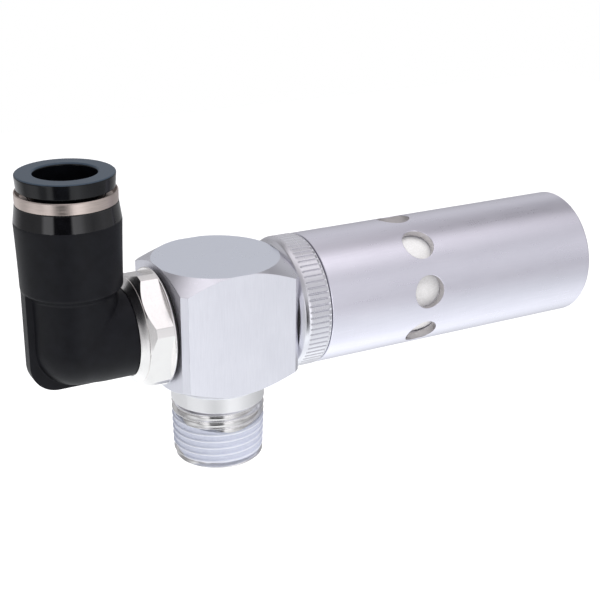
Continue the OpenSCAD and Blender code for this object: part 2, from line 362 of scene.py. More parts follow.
# block: faced ends, drawn sides, coarser ends where the bores are
blk = Mat("block_metal", (0.83, 0.83, 0.895), 1.0, 0.34)
s = blk.split(blk.mm)
nrm = blk.split(blk.node("ShaderNodeTexCoord").outputs["Normal"])
side = blk.math("LESS_THAN", blk.math("ABSOLUTE", nrm[2]), 0.2)
port = blk.math("GREATER_THAN", blk.math("ABSOLUTE", nrm[0]), 0.9)
grain = blk.noise(blk.join(blk.math("MULTIPLY", s[0], 3.4), blk.math("MULTIPLY", s[1], 3.4), blk.math("MULTIPLY", s[2], 0.22)), 1.0, 4, 0.65)
hair = blk.noise(blk.join(blk.math("MULTIPLY", s[0], 10), blk.math("MULTIPLY", s[1], 10), blk.math("MULTIPLY", s[2], 0.5)), 1.0, 3, 0.6)
top_h = blk.noise(blk.mm, 2.2, 3, 0.55)
side_h = blk.mixf(0.35, grain, hair)
tex_h = blk.mixf(side, top_h, side_h)
cloud = blk.noise(blk.mm, 0.16, 3, 0.5)
c = blk.mix(blk.span(cloud, 0.35, 0.65, 0, 1), (0.815, 0.815, 0.878), (0.85, 0.85, 0.912))
c = blk.mix(blk.span(tex_h, 0.35, 0.7, 0.0, blk.mixf(side, 0.05, 0.34)), c, (0.68, 0.68, 0.735))
boss = blk.math("LESS_THAN", blk.up_radius(), 8.7)
boss = blk.math("MULTIPLY", boss, side)
# painted reflection: faces that look up get a bluer colour, standing in for the sky they reflect
top_sky_tint = blk.math("GREATER_THAN", nrm[2], 0.9)
c = blk.mix(blk.math("MULTIPLY", top_sky_tint, 0.8), c, (0.81, 0.85, 0.945))
blk.color(blk.mix(boss, c, (0.965, 0.96, 0.965)))
r_side = blk.mixf(port, blk.span(side_h, 0.3, 0.7, 0.33, 0.43), blk.span(side_h, 0.3, 0.7, 0.46, 0.56))
blk.rough(blk.math("ADD", blk.math("MULTIPLY_ADD", boss, 0.16, 0.0), blk.math("ADD", blk.mixf(side, blk.span(top_h, 0.3, 0.7, 0.28, 0.33), r_side), blk.span(cloud, 0.3, 0.7, -0.02, 0.02))))
blk.bump(blk.mixf(side, blk.math("MULTIPLY", top_h, 0.3), side_h), 0.0014)

# tube: turned, then satined along its length
tube_m = Mat("tube_metal", (0.82, 0.81, 0.91), 1.0, 0.3)
s = tube_m.split(tube_m.mm)
turn = tube_m.math("ARCTAN2", tube_m.math("SUBTRACT", s[2], AX), s[1])
streak = tube_m.noise(tube_m.join(tube_m.math("MULTIPLY", s[0], 0.16), tube_m.math("MULTIPLY", s[1], 2.6), tube_m.math("MULTIPLY", s[2], 2.6)), 1.0, 4, 0.65)
lathe = tube_m.noise(tube_m.join(tube_m.math("MULTIPLY", s[0], 5.5), tube_m.math("MULTIPLY", s[1], 0.05), tube_m.math("MULTIPLY", s[2], 0.05)), 1.0, 3, 0.6)
cloud = tube_m.noise(tube_m.join(tube_m.math("MULTIPLY", s[0], 0.4), s[1], s[2]), 0.3, 3, 0.55)
both_h = tube_m.mixf(0.3, streak, lathe)
c = tube_m.mix(tube_m.span(cloud, 0.3, 0.7, 0, 1), (0.815, 0.80, 0.89), (0.845, 0.83, 0.92))
c = tube_m.mix(tube_m.span(both_h, 0.35, 0.7, 0.0, 0.20), c, (0.69, 0.685, 0.77))
tube_m.color(c)
tube_m.rough(tube_m.math("ADD", tube_m.span(both_h, 0.3, 0.7, 0.26, 0.34), tube_m.span(cloud, 0.3, 0.7, -0.02, 0.02)))
tube_m.bump(both_h, 0.0015)

ring_m = turned_alu("ring_metal", (0.76, 0.755, 0.80), 0.31, 0.22, 0.0015, 0.03)
# hole walls: the darker, browner colour is painted shade inside the holes; the higher roughness is the drilled finish
wall_shade_m = turned_alu("drilled_wall_painted_shade", (0.66, 0.64, 0.645), 0.42, 0.2, 0.003, 0.04)

# thread and port: bright cut metal
thread_m = Mat("thread_metal", (0.80, 0.79, 0.785), 1.0, 0.16)
s = thread_m.split(thread_m.mm)
cutm = thread_m.noise(thread_m.join(0.0, thread_m.math("MULTIPLY", thread_m.up_radius(), 4), thread_m.math("MULTIPLY", s[2], 4)), 1.0, 2, 0.5)
spot = thread_m.noise(thread_m.mm, 0.9, 3, 0.5)
thread_m.color(thread_m.mix(thread_m.span(spot, 0.3, 0.7, 0, 1), (0.76, 0.75, 0.745), (0.83, 0.82, 0.82)))
thread_m.rough(thread_m.span(spot, 0.3, 0.7, 0.12, 0.17))
thread_m.bump(cutm, 0.0003)

# nickel plate of the stud: polished, with faint wipe marks
nickel = Mat("nickel_plate_metal", (0.88, 0.865, 0.87), 1.0, 0.22)
s = nickel.split(nickel.mm)
wipe = nickel.noise(nickel.join(nickel.math("MULTIPLY", s[0], 3), s[1], s[2]), 0.9, 3, 0.55)
tint = nickel.noise(nickel.mm, 0.35, 2, 0.5)
speck = nickel.noise(nickel.mm, 5.0, 3, 0.6)
c = nickel.mix(nickel.span(tint, 0.35, 0.65, 0, 1), (0.885, 0.86, 0.85), (0.905, 0.885, 0.87))
nickel.color(nickel.mix(nickel.span(speck, 0.35, 0.7, 0.0, 0.25), c, (0.80, 0.785, 0.78)))
nickel.rough(nickel.span(nickel.mixf(0.5, wipe, speck), 0.3, 0.7, 0.20, 0.28))
nickel.bump(nickel.mixf(0.4, wipe, speck), 0.0008)

# guide sleeve: turned nickel silver with clear lathe lines
sleeve_m = Mat("sleeve_metal_turned", (0.65, 0.57, 0.50), 1.0, 0.38)
s = sleeve_m.split(sleeve_m.mm)
fine = sleeve_m.noise(sleeve_m.join(0.0, 0.0, sleeve_m.math("MULTIPLY", s[2], 6)), 1.0, 3, 0.7)
patch = sleeve_m.noise(sleeve_m.join(sleeve_m.math("MULTIPLY", s[0], 0.35), sleeve_m.math("MULTIPLY", s[1], 0.35), sleeve_m.math("MULTIPLY", s[2], 5)), 1.0, 3, 0.6)
sleeve_m.color(sleeve_m.mix(sleeve_m.span(patch, 0.3, 0.7, 0, 1), (0.57, 0.49, 0.45), (0.70, 0.60, 0.55)))
sleeve_m.rough(sleeve_m.span(patch, 0.3, 0.7, 0.28, 0.40))
sleeve_m.bump(sleeve_m.math("ADD", fine, patch), 0.006)

# elbow: glass-filled plastic, dull, with a polished band under the sleeve
elbow_m = Mat("elbow_plastic", (0.006, 0.0063, 0.008), 0.0, 0.5, Specular_IOR_Level=0.14)
mould = elbow_m.noise(elbow_m.mm, 9.0, 3, 0.6)
big = elbow_m.noise(elbow_m.mm, 0.5, 3, 0.5)
elbow_m.color(elbow_m.mix(elbow_m.span(big, 0.3, 0.7, 0, 1), (0.0060, 0.0062, 0.0082), (0.0084, 0.0088, 0.0118)))
elbow_m.rough(elbow_m.span(mould, 0.3, 0.7, 0.42, 0.54))
elbow_m.bump(mould, 0.008)
band_m = Mat("elbow_gloss_band", (0.003, 0.003, 0.0036), 0.0, 0.1)
big = band_m.noise(band_m.mm, 0.8, 3, 0.5)
fine = band_m.noise(band_m.mm, 6.0, 3, 0.5)
band_m.color(band_m.mix(band_m.span(big, 0.3, 0.7, 0, 1), (0.0024, 0.0024, 0.003), (0.0042, 0.0042, 0.0055)))
band_m.rough(band_m.span(big, 0.3, 0.7, 0.05, 0.09))
band_m.bump(fine, 0.001)

# release ring: polished round its side, dull blue-black on its top face
collar_m = Mat("collar_plastic", (0.004, 0.0045, 0.006), 0.0, 0.2, Specular_IOR_Level=0.3)
up = collar_m.math("GREATER_THAN", collar_m.split(collar_m.node("ShaderNodeTexCoord").outputs["Normal"])[2], 0.5)
fine = collar_m.noise(collar_m.mm, 12, 3, 0.6)
big = collar_m.noise(collar_m.mm, 0.7, 2, 0.5)
c_side = collar_m.mix(collar_m.span(big, 0.3, 0.7, 0, 1), (0.0026, 0.0028, 0.0038), (0.0045, 0.005, 0.0068))
c_top = collar_m.mix(collar_m.span(fine, 0.3, 0.7, 0, 1), (0.034, 0.052, 0.076), (0.044, 0.066, 0.094))
collar_m.color(collar_m.mix(up, c_side, c_top))
collar_m.rough(collar_m.mixf(up, collar_m.span(big, 0.3, 0.7, 0.09, 0.13), collar_m.span(fine, 0.3, 0.7, 0.34, 0.44)))
collar_m.bump(fine, 0.003)

rubber_m = Mat("black_rubber_seal", (0.018, 0.018, 0.018), 0.0, 0.6)
n1 = rubber_m.noise(rubber_m.mm, 6, 3, 0.6)
rubber_m.color(rubber_m.mix(rubber_m.span(n1, 0.3, 0.7, 0, 1), (0.012, 0.012, 0.012), (0.026, 0.026, 0.027)))
rubber_m.rough(rubber_m.span(n1, 0.3, 0.7, 0.5, 0.72))
rubber_m.bump(n1, 0.01)

brass_m = Mat("machined_brass", (0.78, 0.58, 0.28), 1.0, 0.28)
s = brass_m.split(brass_m.mm)
n1 = brass_m.noise(brass_m.join(brass_m.math("MULTIPLY", s[0], 8), s[1], s[2]), 1.0, 3, 0.6)
brass_m.color(brass_m.mix(brass_m.span(n1, 0.3, 0.7, 0, 1), (0.70, 0.51, 0.23), (0.83, 0.63, 0.32)))
brass_m.rough(brass_m.span(n1, 0.3, 0.7, 0.22, 0.34))
brass_m.bump(n1, 0.004)

steel_m = Mat("spring_steel_sheet", (0.62, 0.63, 0.65), 1.0, 0.25)
n1 = steel_m.noise(steel_m.mm, 3.0, 4, 0.6)
steel_m.color(steel_m.mix(steel_m.span(n1, 0.3, 0.7, 0, 1), (0.55, 0.56, 0.58), (0.68, 0.69, 0.71)))
steel_m.rough(steel_m.span(n1, 0.3, 0.7, 0.2, 0.32))
steel_m.bump(n1, 0.003)

backing_m = Mat("backing_plastic", (0.60, 0.56, 0.48), 0.0, 0.5)
n1 = backing_m.noise(backing_m.mm, 5.0, 3, 0.6)
backing_m.color(backing_m.mix(backing_m.span(n1, 0.3, 0.7, 0, 1), (0.55, 0.51, 0.43), (0.64, 0.60, 0.52)))
backing_m.rough(backing_m.span(n1, 0.3, 0.7, 0.44, 0.58))
backing_m.bump(n1, 0.006)

# sintered plastic beads of the silencer insert
porous_m = Mat("sintered_beads", (0.90, 0.89, 0.88), 0.0, 0.75)
bead_gap_depth_and_shade = porous_m.voronoi(porous_m.mm, 3.2)
n1 = porous_m.noise(porous_m.mm, 1.1, 3, 0.6)
# painted shade: the colour darkens in the gaps between the beads; the same pattern gives the bump
porous_m.color(porous_m.mix(porous_m.span(bead_gap_depth_and_shade, 0.25, 0.6, 0.0, 1.0), (0.93, 0.92, 0.915), (0.86, 0.85, 0.84)))
porous_m.rough(porous_m.span(n1, 0.3, 0.7, 0.68, 0.85))
porous_m.bump(porous_m.math("SUBTRACT", 1.0, bead_gap_depth_and_shade), 0.012)

# thread sealant: dried white acrylic paste, thin on the crests; its lighter colour there is a painted highlight
seal_m = Mat("dried_sealant", (0.74, 0.76, 0.83), 0.0, 0.6)
n1 = seal_m.noise(seal_m.mm, 1.4, 4, 0.6)
n2 = seal_m.noise(seal_m.mm, 7.0, 3, 0.6)
s = seal_m.split(seal_m.mm)
# painted highlight: lighter colour where the paste stands near the thread's crests
over = seal_m.math("SUBTRACT", seal_m.up_radius(), seal_m.math("MULTIPLY_ADD", s[2], 1 / 32.0, 8.48))
crest_highlight = seal_m.span(over, -0.12, 0.02, 0, 1)
c = seal_m.mix(seal_m.span(n1, 0.3, 0.7, 0, 1), (0.60, 0.63, 0.745), (0.66, 0.69, 0.79))
seal_m.color(seal_m.mix(crest_highlight, c, (0.80, 0.82, 0.89)))
seal_m.rough(seal_m.span(n2, 0.3, 0.7, 0.5, 0.75))
seal_m.bump(seal_m.math("ADD", seal_m.math("MULTIPLY", n1, 0.7), seal_m.math("MULTIPLY", n2, 0.3)), 0.03)

# ---------------------------------------------------------------------- block
HALF, EDGE = 11.15, 1.0
Z_TOP, R_TOP, K_TOP = AX + 10.95, 11.35, 0.617
BOSS_R, BOSS_H, K_LOW = 8.5, 2.9, 0.577


def bar_reach(t, k=0.05):
    """Distance from the axis to the chamfered square bar along t, edges eased."""
    out = None
    for i in range(8):
        d = HALF if i % 2 == 0 else (2 * HALF - EDGE) / math.sqrt(2)
        cs = np.cos(t - i * math.pi / 4)
        r = np.where(cs > 0.05, d / np.maximum(cs, 0.05), 400.0)
        out = r if out is None else smin(out, r, k)
    return out


corner = math.atan2(HALF - EDGE, HALF)
quarter = np.concatenate(
    [
        np.linspace(-corner + 0.012, corner - 0.012, 45),
        corner + np.array([-0.008, -0.005, -0.003, -0.0015, 0, 0.0015, 0.003, 0.005, 0.008]),
        np.linspace(corner + 0.012, math.pi / 2 - corner - 0.012, 5),
        math.pi / 2 - corner + np.array([-0.008, -0.005, -0.003, -0.0015, 0, 0.0015, 0.003, 0.005, 0.008]),
    ]
)
cols = np.concatenate([quarter + i * math.pi / 2 for i in range(4)])
reach = bar_reach(cols)
loops = []
for t, r in zip(cols, reach):
    z_edge = Z_TOP - K_TOP * max(0.0, r - R_TOP)
    z_low = BOSS_H + K_LOW * (r - BOSS_R)
    e = 0.10
    loops.append(
        fillet(
            [
                (0.0, Z_TOP),
                (min(R_TOP, r) - 0.6, Z_TOP),
                (min(R_TOP, r - 0.02), Z_TOP, 0.02),
                (r, z_edge, e),
                (r, z_low, e),
                (BOSS_R, BOSS_H, 0.25),
                (BOSS_R, 0.0, 0.12),
                (6.6, 0.0),
                (6.6, 7.7),
                (4.0, 7.7),
                (4.0, AX + 4.8),
                (0.0, AX + 4.8),
            ],
            4,
            closed=False,
        )
    )
L = np.array(loops)
P = np.stack([L[:, :, 0] * np.cos(cols)[:, None], L[:, :, 0] * np.sin(cols)[:, None], L[:, :, 1]], -1)
block = make("block_body", *grid(P, True, False), "ejector", "block_aluminium", ["ejector_block"], angle=20)
put(block, blk)

# --------------------------------------------------------------------- thread
PITCH, DEPTH = 1.337, 0.84
T_TIP = -11.3


def thread_radius(z, t):
    """Taper pipe thread, right-hand, with round crests and roots."""
    major = 8.48 + z / 32.0
    f = z / PITCH - t / (2 * np.pi)
    f = f - np.floor(f)
    tri = np.abs(f - 0.5) * 2  # 1 at the crest, 0 at the root
    shape = smax(smin((tri - 0.5) / 0.66 + 0.5, np.array(1.0), 0.32), np.array(0.0), 0.3)
    cut = major - DEPTH * (1 - shape)
    # the tip's chamfer, and the run-out under the boss
    cut = smin(cut, 7.72 + (z - T_TIP) * 0.95, 0.05)
    fade = np.clip((z + 0.75) / 0.5, 0, 1)
    fade = fade * fade * (3 - 2 * fade)
    return cut * (1 - fade) + np.minimum(cut, 7.8) * fade


def thread_normals(co, no):
    r = np.hypot(co[:, 0], co[:, 1])
    t = np.arctan2(co[:, 1], co[:, 0])
    z = co[:, 2]
    on = (np.abs(r - thread_radius(z, t)) < 2e-3) & (z < 0.0) & (z > T_TIP + 0.02)
    dz = (thread_radius(z + 0.01, t) - thread_radius(z - 0.01, t)) / 0.02
    dt = (thread_radius(z, t + 0.001) - thread_radius(z, t - 0.001)) / 0.002 / np.maximum(r, 1)
    n = np.stack([np.cos(t) + dt * np.sin(t), np.sin(t) - dt * np.cos(t), -dz], 1)
    n /= np.linalg.norm(n, axis=1)[:, None]
    no = no.copy()
    no[on] = n[on]
    return no


# rows of points that follow the helix; the seam joins each row to the next turn's
nt, per_turn = 240, 28
t = np.linspace(0, 2 * np.pi, nt + 1)
level = np.arange(-10 * per_turn, per_turn + 1) * (PITCH / per_turn)
Z = np.clip(level[None, :] + PITCH * t[:, None] / (2 * np.pi), T_TIP, 0.06)
T = np.repeat(t[:, None], len(level), 1)
R = thread_radius(Z, T)
R[-1] = thread_radius(Z[-1], 0 * T[-1])
outer = about_up(R, Z, T)
inner = []
for r, zz in ((6.6, 0.06), (6.3, 0.06), (5.75, 0.05), (5.75, -5.5), (5.75, T_TIP + 0.3), (5.95, T_TIP + 0.08), (6.1, T_TIP), (7.0, T_TIP)):
    inner.append(about_up(np.full(nt + 1, r), np.full(nt + 1, zz), t))
inner = np.stack(inner, 1)
P = np.concatenate([outer, inner], 1)
thread = make("vacuum_thread", *grid(P, False, True), "ejector", "block_aluminium", ["ejector_block"], normals=thread_normals, angle=50)
put(thread, thread_m)

# passage liner above the thread, so that the port reads as one bore
turned("port_bore", [(5.75, 0.03), (5.75, 7.68), (6.55, 7.68), (6.55, 0.03)], "ejector", "block_aluminium", "z", 96, replaces=["ejector_block"])
put(bpy.data.objects["port_bore"], thread_m)

# -------------------------------------------------------------------- sealant
nt, nz = 260, 260
t = np.linspace(0, 2 * np.pi, nt, endpoint=False)
f = np.linspace(0, 1, nz)
w = t - math.radians(151)
wob = t[:, None] / (2 * np.pi)
away = np.degrees(np.abs(np.arctan2(np.sin(w), np.cos(w))))
low = -10.48 + 1.35 * np.exp(-((away / 42) ** 3)) + 0.10 * noise2(wob * 14, 0 * wob, 3, 14)[:, 0]
top = -3.29 + 0.72 * np.cos(w) + 0.41 * np.cos(2 * w) + 0.16 * noise2(wob * 11, 0 * wob, 5, 11)[:, 0]
Z = low[:, None] + (top - low)[:, None] * f[None, :]
T = np.repeat(t[:, None], nz, 1)
base = thread_radius(Z, T)
major = 8.48 + Z / 32.0
fill = major - 0.27 + 0.04 * noise2(T * 30 / (2 * np.pi), Z * 1.1, 7, 30) + 0.05 * noise2(T * 9 / (2 * np.pi), Z * 0.5, 8, 9)
edge = np.clip(np.minimum((Z - low[:, None]) / 0.3, (top[:, None] - Z) / 0.2), 0, 1)
edge = edge * edge * (3 - 2 * edge)
skin = smax(base + 0.05 * edge, fill - (1 - edge) * 0.6, 0.16)
skin = skin - 0.16 * (1 - edge)
skin = np.minimum(skin, major + 0.06)
outer = about_up(skin, Z, T)
under = about_up(np.full((nt, 2), 7.3), np.stack([top, low], 1), np.repeat(t[:, None], 2, 1))
P = np.concatenate([outer, under], 1)
sealant = make("thread_sealant", *grid(P), "ejector", "porous_plastic", angle=None)
put(sealant, seal_m)

# ----------------------------------------------------------------------- stud
AF, BAR_R, VERTEX = 9.5, 10.54, 15.6
# round nose of the flange: a Bezier arc from its face to its rim
b0, b1, b2, b3 = (7.80, -17.45), (8.22, -17.1), (8.80, -16.78), (9.26, -16.46)
FLANGE = []
for q in np.linspace(0, 1, 9):
    k0, k1, k2, k3 = (1 - q) ** 3, 3 * q * (1 - q) ** 2, 3 * q * q * (1 - q), q**3
    FLANGE.append((k0 * b0[0] + k1 * b1[0] + k2 * b2[0] + k3 * b3[0], k0 * b0[1] + k1 * b1[1] + k2 * b2[1] + k3 * b3[1], 0.0))
# fine groove between the flange and the hexagon's bevel
FLANGE += [(9.22, -16.42, 0.0), (9.21, -16.40, 0.0), (9.21, -16.38, 0.0)]
half = np.concatenate([np.linspace(0, 24.6, 14), 25.66 + np.array([-0.7, -0.4, -0.2, 0, 0.2, 0.4, 0.7]), [27.2, 28.6]])
sector = np.radians(np.concatenate([-half[::-1][:-1], half, [30.0]]))
cols = np.concatenate([sector + math.radians(VERTEX + 30 + 60 * i) for i in range(6)])
loops = []
for i, tt in enumerate(cols):
    d = sector[i % len(sector)]
    r = float(smin(np.array(AF / math.cos(d)), np.array(BAR_R), 0.05))
    xb = -16.3 + (max(r, 9.51) - 9.5) * (0.9 / 1.04)
    loops.append(
        fillet(
            [
                (5.2, -17.3, 0.0),
                (7.72, -17.3, 0.0),
                *FLANGE,
                (9.36, -16.36, 0.0),
                (max(r, 9.505), xb, 0.05),
                (r, -12.3, 0.05),
                (10.42, -12.3 + 0.01, 0.16),
                (10.42, -11.9, 0.16),
                (6.5, -11.9, 0.0),
                (6.5, -7.0, 0.0),
                (6.1, -6.6, 0.0),
                (3.0, -6.6, 0.0),
                (3.0, -22.8, 0.0),
                (4.8, -22.8, 0.0),
                (5.2, -22.4, 0.0),
                (5.2, -22.0, 0.0),
                (4.0, -22.0, 0.0),
                (4.0, -20.6, 0.0),
                (5.2, -20.6, 0.0),
                (5.2, -19.7, 0.0),
                (4.5, -19.7, 0.0),
                (4.5, -18.6, 0.0),
                (5.2, -18.6, 0.0),
            ],
            4,
        )
    )
L = np.array(loops)
P = about_flow(L[:, :, 0], L[:, :, 1], cols[:, None])
P[:, :, 0] = L[:, :, 1]
stud = make("stud_body", *grid(P), "ejector", "nickel_plate", ["inlet_stud"], angle=24)
put(stud, nickel)

turned("stud_washer", [(6.6, -11.9), (9.5, -11.9, 0.15), (9.5, -11.15, 0.15), (6.6, -11.15)], "ejector", "black_rubber", "x", 160, replaces=["stud_seal"])
put(bpy.data.objects["stud_washer"], rubber_m)

# --------------------------------------------------------------- knurled ring
TEETH = 72


def knurl(R, X, T):
    """Straight grooves that run out on the cone at one side."""
    f = T * TEETH / (2 * np.pi)
    f = f - np.floor(f)
    tri = 1 - np.abs(f - 0.5) * 2
    cut = np.clip((0.42 - tri) / 0.34, 0, 1)
    cut = cut * cut * (3 - 2 * cut)
    run = np.clip((X - 12.55) / 0.55, 0, 1)
    run = run * run * (3 - 2 * run)
    root = 12.165 - 0.28 * cut * run
    zone = (X > 12.0) & (X < 16.7) & (R > 11.7)
    return np.where(zone, np.minimum(R, root), R)


prof = [
    (5.6, 7.1),
    (7.9, 7.1),
    (8.28, 7.5),
    (8.28, 11.15),
    (9.55, 11.15),
    (9.55, 12.0),
    (10.55, 12.0),
    (10.55, 11.28, 0.03),
    (10.95, 11.3, 0.15),
    (11.8, 11.85, 0.5),
    (12.05, 12.35),
    (12.1, 12.5),
    (12.14, 12.7),
    (12.165, 12.85),
    (12.165, 13.0),
    (12.165, 13.15),
    (12.165, 13.3),
    (12.165, 15.0),
    (12.165, 16.3),
    (12.165, 16.44),
    (12.08, 16.56),
    (12.08, 16.86, 0.04),
    (11.99, 16.93, 0.03),
    (11.6, 16.93),
    (11.55, 16.95),
    (10.5, 16.95),
    (10.5, 23.4),
    (10.1, 23.8),
    (8.4, 23.8),
    (8.4, 16.0),
    (5.6, 14.0),
]
turned("coupling_ring", prof, "ejector", "ring_aluminium", "x", TEETH * 16, replaces=["knurled_ring"], wave=knurl, angle=50)
put(bpy.data.objects["coupling_ring"], ring_m)
turned("tube_gasket", [(10.55, 16.95), (11.5, 16.95, 0.03), (11.5, 17.1, 0.03), (10.55, 17.1)], "ejector", "black_rubber", "x", 160, replaces=["silencer_gasket"])
put(bpy.data.objects["tube_gasket"], rubber_m)

# -------------------------------------------------------------- silencer tube
RO, RI, X0, X1 = 12.1, 10.55, 17.1, 75.45
HX, HR, HT = 37.7, 3.1, 7.7
W, B, NS = 4.75, 0.14, 16
verts, faces = [], []


def add(P, cu, cv):
    v, f = grid(P, cu, cv, sum(len(q) for q in verts))
    verts.append(v)
    faces.extend(f)


side = np.linspace(-1, 1, NS + 1)[:-1]
sq = np.concatenate([np.stack([np.ones(NS), side], 1), np.stack([-side, np.ones(NS)], 1), np.stack([-np.ones(NS), -side], 1), np.stack([side, -np.ones(NS)], 1)])
th = np.arange(4 * NS) * 2 * np.pi / (4 * NS) - math.pi / 4
for k in range(8):
    tk = math.radians(HT + 45 * k)
    rows = []

    def on_skin(rad, hole, w):
        """Ring between the hole's rim (w 0) and the patch's border (w 1)."""
        a = np.arcsin(hole * np.sin(th) / rad)
        dx = hole * np.cos(th)
        x = dx * (1 - w) + sq[:, 0] * W * w
        ang = a * (1 - w) + sq[:, 1] * math.pi / 8 * w
        return about_flow(np.full(len(th), rad), HX + x, tk + ang)

    for w in (1, 0.7, 0.42, 0.22, 0.1, 0.035, 0.01, 0):
        rows.append(on_skin(RO, HR + B, w))
    for a in (22.5, 45, 67.5, 90):
        a = math.radians(a)
        rows.append(on_skin(RO - B * (1 - math.cos(a)), HR + B * (1 - math.sin(a)), 0))
    for d in (0.17, 0.45, 0.78, 1.1, 1.38):
        rows.append(on_skin(RO - d, HR, 0))
    for a in (90, 67.5, 45, 22.5):
        a = math.radians(a)
        rows.append(on_skin(RI + B * (1 - math.cos(a)), HR + B * (1 - math.sin(a)), 0))
    for w in (0, 0.1, 0.42, 1):
        rows.append(on_skin(RI, HR + B, w))
    add(np.stack(rows, 1), True, False)

tcol = math.radians(HT - 22.5) + np.arange(8 * NS) * math.pi / 4 / NS
left = fillet([(RO, HX - W), (RO, 30.0), (RO, 24.0), (RO, X0 + 0.16, 0.05), (RO - 0.11, X0 + 0.04, 0.04), (RI + 1.0, X0 + 0.04), (RI + 0.95, X0), (RI, X0, 0.1), (RI, 26.0), (RI, HX - W)], 4, closed=False)
right = fillet([(RO, HX + W), (RO, 50.0), (RO, 60.0), (RO, 70.0), (RO, X1 - 0.34, 0.12), (RO - 0.24, X1, 0.1), (RI, X1, 0.3), (RI, 66.0), (RI, HX + W)], 4, closed=False)
for pr in (left, right):
    T, R = np.meshgrid(tcol, pr[:, 0], indexing="ij")
    X = np.repeat(pr[None, :, 1], len(tcol), 0)
    P = about_flow(R, X, T)
    add(P, True, False)


def tube_normals(co, no):
    d = np.stack([0 * co[:, 0], co[:, 1], co[:, 2] - AX], 1)
    r = np.linalg.norm(d, axis=1)
    d = d / r[:, None]
    out = (abs(r - RO) < 2e-4) & (co[:, 0] > X0 + 0.2) & (co[:, 0] < X1 - 0.39)
    inn = (abs(r - RI) < 2e-4) & (co[:, 0] > X0 + 0.12) & (co[:, 0] < X1 - 0.31)
    no = no.copy()
    no[out] = d[out]
    no[inn] = -d[inn]
    return no


tube = make("silencer_shell", np.concatenate(verts), faces, "ejector", "tube_aluminium", ["silencer_tube"], normals=tube_normals, angle=None)
# the faces of the hole walls get the darker material: painted shade
part_faces(tube, lambda x, y, z: RI + 0.1 < math.hypot(y, z - AX) < RO - 0.1 and abs(x - HX) < 3.3)
put(tube, tube_m, wall_shade_m)

turned(
    "tube_end_plug",
    [(0.0, 72.25), (10.15, 72.25), (10.55, 72.65), (10.55, 74.35, 0.1), (10.15, 74.75, 0.1), (6.2, 74.75, 0.15), (5.6, 74.25, 0.15), (0.0, 74.25)],
    "ejector",
    "ring_aluminium",
    "x",
    160,
    replaces=["end_cap"],
    angle=40,
)
put(bpy.data.objects["tube_end_plug"], ring_m)


# porous insert: a slightly uneven sleeve of fused beads
def beads(R, X, T):
    return R + np.where(R > 9, 0.012 * noise2(T * 150 / (2 * np.pi), X * 2.4, 11, 150) + 0.012 * noise2(T * 60 / (2 * np.pi), X * 1.0, 12, 60), 0)


xs = np.linspace(25.4, 70.65, 160)
prof = [(6.4, 24.8), (9.85, 24.8), (10.32, 25.3)] + [(10.32, float(x)) for x in xs] + [(10.32, 70.75), (9.85, 71.25), (6.4, 71.25)]
turned("porous_insert", prof, "ejector", "porous_plastic", "x", 300, replaces=["silencer_element"], wave=beads, angle=None)
put(bpy.data.objects["porous_insert"], porous_m)


# ---------------------------------------------------------------------- elbow
def upper_radius(z):
    h = z - 10.15
    return 8.5 + 0.0165 * h + 0.00122 * h * h


def elbow_field(p):
    """Signed distance, near enough, of the moulded elbow. p is from the corner
    of its two axes."""
    x, y, z = p[:, 0], p[:, 1], p[:, 2]
    ru = np.sqrt(x * x + y * y)
    rf = np.sqrt(y * y + z * z)
    sock = smax(ru - upper_radius(np.maximum(z, 9.0)), (ru - 7.47 - (z - 9.15)) * 0.7071, 0.16)
    sock = smax(sock, ru - (8.81 - 0.137 * (z - 21.75)), 0.05)
    sock = smax(sock, z - 24.75, 0.12)
    sock = np.maximum(sock, 8.8 - z)
    ease = lambda v: np.clip(v, 0, 1) ** 2 * (3 - 2 * np.clip(v, 0, 1))
    neck = np.maximum(ru - (7.5 - 0.05 * ease(z / 4)), np.maximum(-z, z - 12.0))
    leg = np.maximum(smax(rf - (7.5 + 0.22 * ease(x / 4)), x - 8.75, 0.1), -x)
    heel = np.sqrt(x * x + y * y + z * z) - 7.5
    body = smin(neck, leg, 0.5 * np.clip(np.minimum(x, z) / 2, 0.002, 1))
    body = np.minimum(body, heel)
    # rib: rounded outline in the plane of the axes
    qx, qz = x + 8.38 - 4.8, z + 7.85 - 4.8
    line = np.where(
        (qx < 0) & (qz < 0),
        np.sqrt(qx * qx + qz * qz) - 4.8,
        np.maximum(-(x + 8.38), -(z + 7.85)),
    )
    line = np.maximum(line, np.maximum(z - 10.1, x - 8.7))
    line = np.maximum(line, np.minimum(z, x))
    rib = smax(line, np.abs(y) - 1.42, 0.2)
    body = smin(body, rib, 0.22)
    body = smin(body, sock, 0.2)
    # bores
    hole = np.maximum(ru - 3.9, np.maximum(-3.7 - z, z - 26))
    hole = np.minimum(hole, np.maximum(ru - 5.1, 9.5 - z))
    hole = np.minimum(hole, np.maximum(ru - 7.35, 18.8 - z))
    hole = np.minimum(hole, np.maximum(rf - 3.5, -x))
    hole = np.minimum(hole, np.maximum(rf - 5.27, 3.25 - x))
    return np.maximum(body, -hole)


